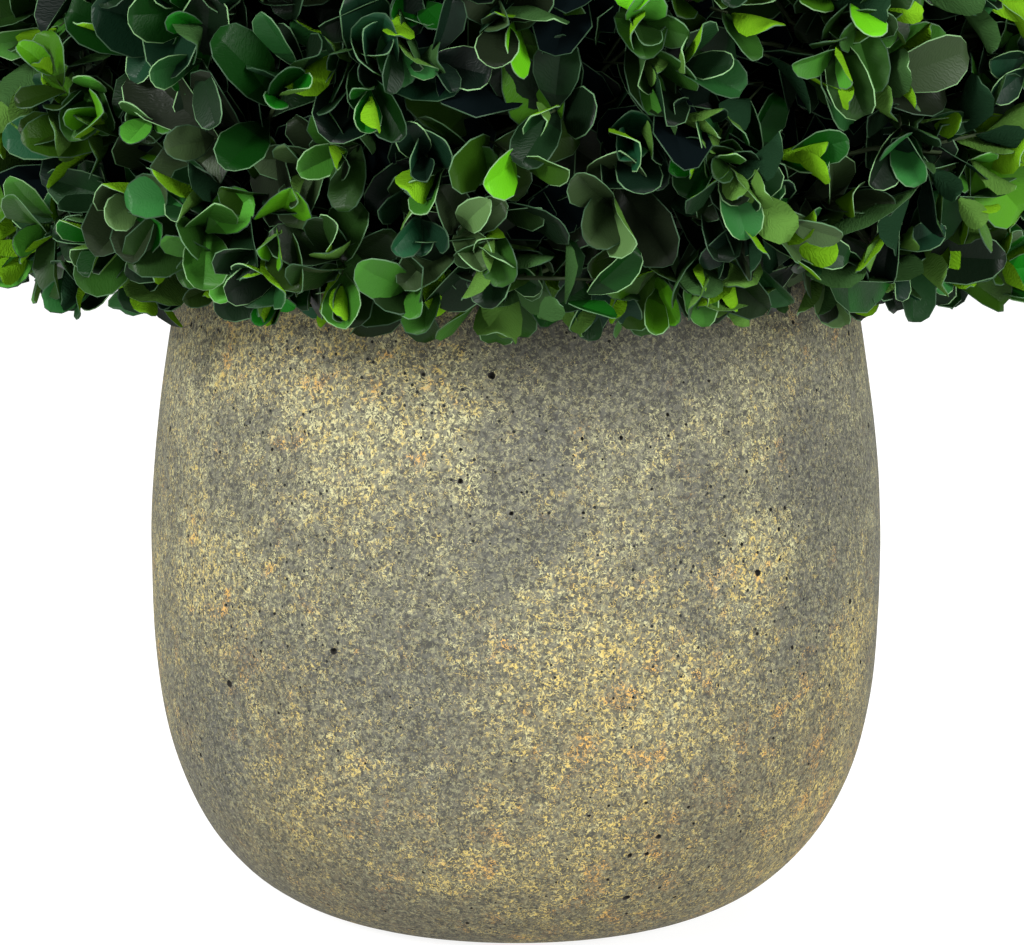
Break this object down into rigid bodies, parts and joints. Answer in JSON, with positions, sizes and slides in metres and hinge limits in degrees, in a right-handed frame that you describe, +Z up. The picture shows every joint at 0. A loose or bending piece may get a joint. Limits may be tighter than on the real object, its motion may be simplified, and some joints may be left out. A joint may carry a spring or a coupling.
{
  "type": "box topiary ball",
  "caption": "Clipped ball of small oval evergreen leaves with a flattened underside, sitting on a rounded cement pot that narrows to a flat foot.",
  "frame": {"origin": "centre of the pot's flat underside, on the surface it stands on", "axes": "+Z up through the ball, +X to the right and -Y towards the viewer in the front view"},
  "size_m": [0.3357, 0.3317, 0.4244],
  "materials": {
    "pot_cement": "matt cement, grey-brown with ochre and cream flecks",
    "potting_mix": "dark crumbly potting mix",
    "bark": "grey-brown bark, finely cracked",
    "foliage": "satin green leaves with pale rims"
  },
  "bodies": {
    "root": {"pot": "pot_cement", "potting_mix": "potting_mix", "stem": "bark", "foliage_ball": "foliage"}
  },
  "joints": []
}
